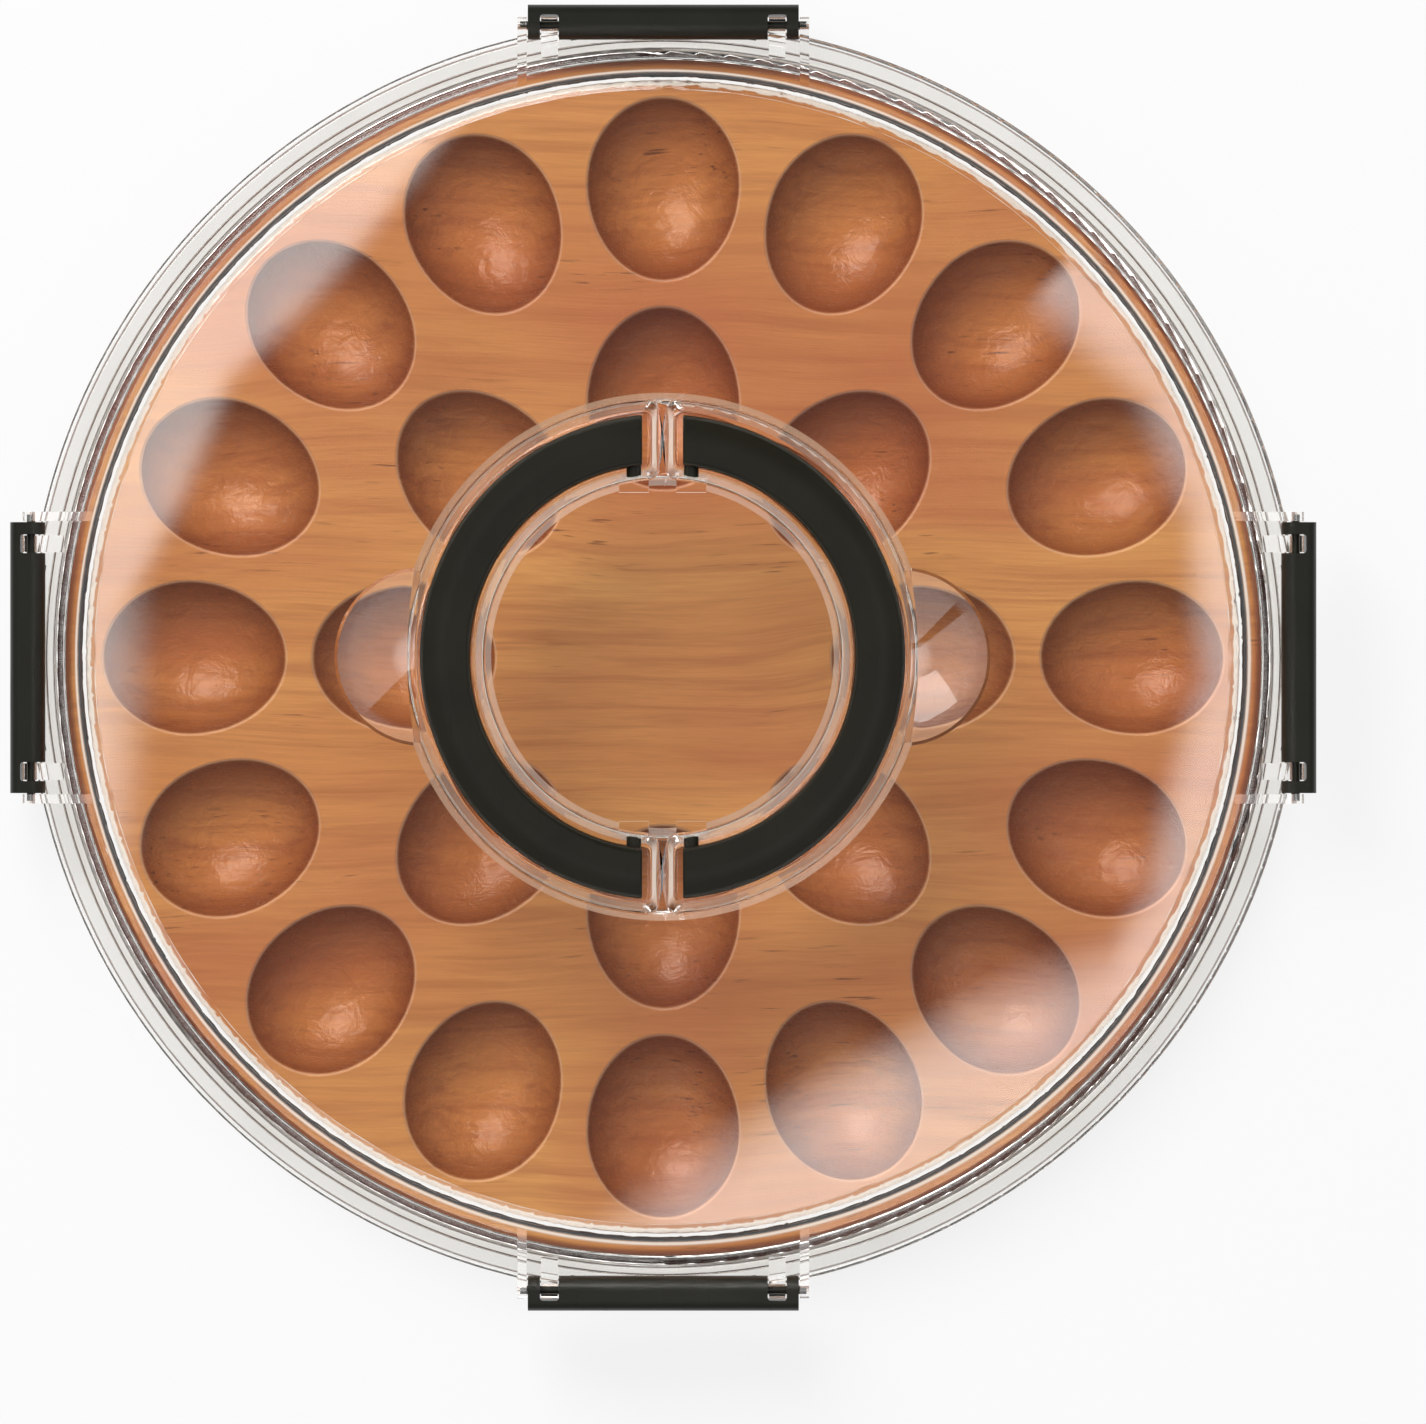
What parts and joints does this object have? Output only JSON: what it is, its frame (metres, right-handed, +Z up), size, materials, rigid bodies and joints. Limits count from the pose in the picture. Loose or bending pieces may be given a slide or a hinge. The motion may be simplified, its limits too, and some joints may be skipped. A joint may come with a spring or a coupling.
{
  "type": "deviled egg carrier",
  "caption": "Round lidded egg carrier: a wooden board with rings of egg pockets in a clear tray, under a clear domed lid with side latches and fold-down half-ring handles.",
  "frame": {"origin": "centre of the underside of the tray's foot ring, on the table", "axes": "+Z up, +Y towards the back latch, +X towards the right latch"},
  "size_m": [0.3396, 0.3396, 0.0839],
  "materials": {
    "clear_tray": "clear gloss",
    "clear_lid": "clear gloss",
    "board_wood": "oiled, satin",
    "handle_black": "satin",
    "latch_black": "satin"
  },
  "bodies": {
    "carrier": {"base_tray": "clear_tray", "egg_board": "board_wood", "lid": "clear_lid"},
    "handle_left": {"handle_left": "handle_black"},
    "handle_right": {"handle_right": "handle_black"},
    "latch_back": {"latch_back": "latch_black"},
    "latch_front": {"latch_front": "latch_black"},
    "latch_left": {"latch_left": "latch_black"},
    "latch_right": {"latch_right": "latch_black"}
  },
  "joints": [
    {"name": "handle_left_swing", "type": "hinge", "parent": "carrier", "child": "handle_left", "pos_m": [-0.0073, 0, 0.07792], "axis": [0, 1, 0], "range_deg": [0, 90]},
    {"name": "handle_right_swing", "type": "hinge", "parent": "carrier", "child": "handle_right", "pos_m": [0.0073, 0, 0.07792], "axis": [0, -1, 0], "range_deg": [0, 90]},
    {"name": "latch_back_swing", "type": "hinge", "parent": "carrier", "child": "latch_back", "pos_m": [0, 0.1635, 0.0324], "axis": [1, 0, 0], "range_deg": [0, 95]},
    {"name": "latch_left_swing", "type": "hinge", "parent": "carrier", "child": "latch_left", "pos_m": [-0.1635, 0, 0.0324], "axis": [0, 1, 0], "range_deg": [0, 95]},
    {"name": "latch_front_swing", "type": "hinge", "parent": "carrier", "child": "latch_front", "pos_m": [0, -0.1635, 0.0324], "axis": [-1, 0, 0], "range_deg": [0, 95]},
    {"name": "latch_right_swing", "type": "hinge", "parent": "carrier", "child": "latch_right", "pos_m": [0.1635, 0, 0.0324], "axis": [0, -1, 0], "range_deg": [0, 95]}
  ]
}
